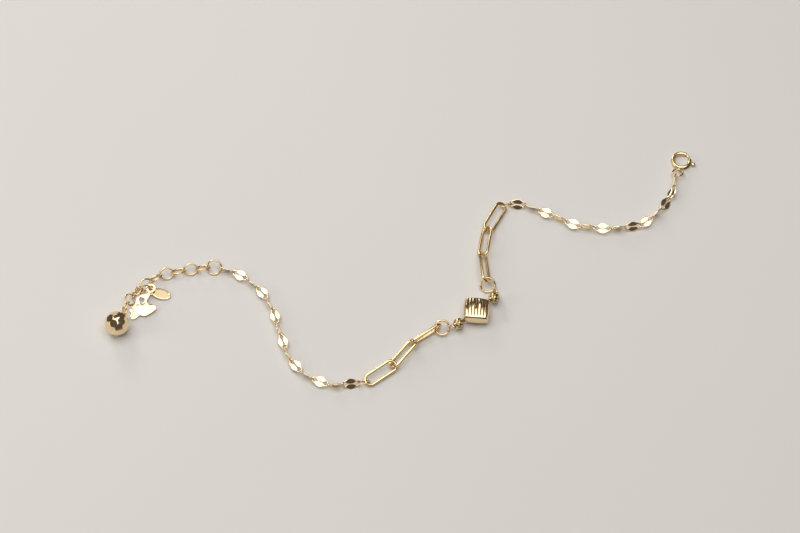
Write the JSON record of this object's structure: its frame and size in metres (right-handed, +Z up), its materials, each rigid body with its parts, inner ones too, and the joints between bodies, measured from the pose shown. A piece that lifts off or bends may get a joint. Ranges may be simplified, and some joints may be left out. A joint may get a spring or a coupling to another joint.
{
  "type": "chain bracelet",
  "caption": "Fine gold chain bracelet lying open, with flattened petal links, long links round a ribbed bead, a spring-ring clasp and an extender with charm, tag and ball.",
  "frame": {"origin": "middle of the footprint, on the surface that the bracelet lies on", "axes": "+X along the longest extent, from the ball end towards the clasp end; +Z up"},
  "size_m": [0.1378, 0.0648, 0.0055],
  "materials": {
    "polished_gold": "mirror polished yellow gold",
    "gold_wire": "polished yellow gold wire",
    "clasp_gold": "polished yellow gold"
  },
  "bodies": {
    "bracelet": {"bead_main": "polished_gold", "bead_small_left": "gold_wire", "bead_small_right": "gold_wire", "bead_wire": "gold_wire", "ring_bead_left": "gold_wire", "ring_bead_right": "gold_wire", "long_link_1": "gold_wire", "long_link_2": "gold_wire", "long_link_3": "gold_wire", "long_link_4": "gold_wire", "long_link_5": "gold_wire", "long_link_6": "gold_wire", "oval_link_left": "gold_wire", "oval_link_right": "gold_wire", "petal_chain_left": "polished_gold", "petal_chain_right": "polished_gold", "ring_extender": "gold_wire", "extender_link_1": "gold_wire", "extender_link_2": "gold_wire", "extender_link_3": "gold_wire", "extender_link_4": "gold_wire", "extender_link_5": "gold_wire", "extender_link_6": "gold_wire", "extender_link_7": "gold_wire", "extender_link_8": "gold_wire", "extender_link_9": "gold_wire", "ring_clasp": "gold_wire", "clasp_body": "clasp_gold", "charm_link": "gold_wire", "charm": "polished_gold", "tag": "polished_gold", "end_ball": "polished_gold"},
    "trigger": {"clasp_trigger": "clasp_gold"}
  },
  "joints": [
    {"name": "clasp_trigger_slide", "type": "hinge", "parent": "bracelet", "child": "trigger", "pos_m": [0.06562, 0.0299, 0.00047], "axis": [0, 0, -1], "range_deg": [0, 50], "stiffness_Nm_per_rad": 0.0002}
  ]
}
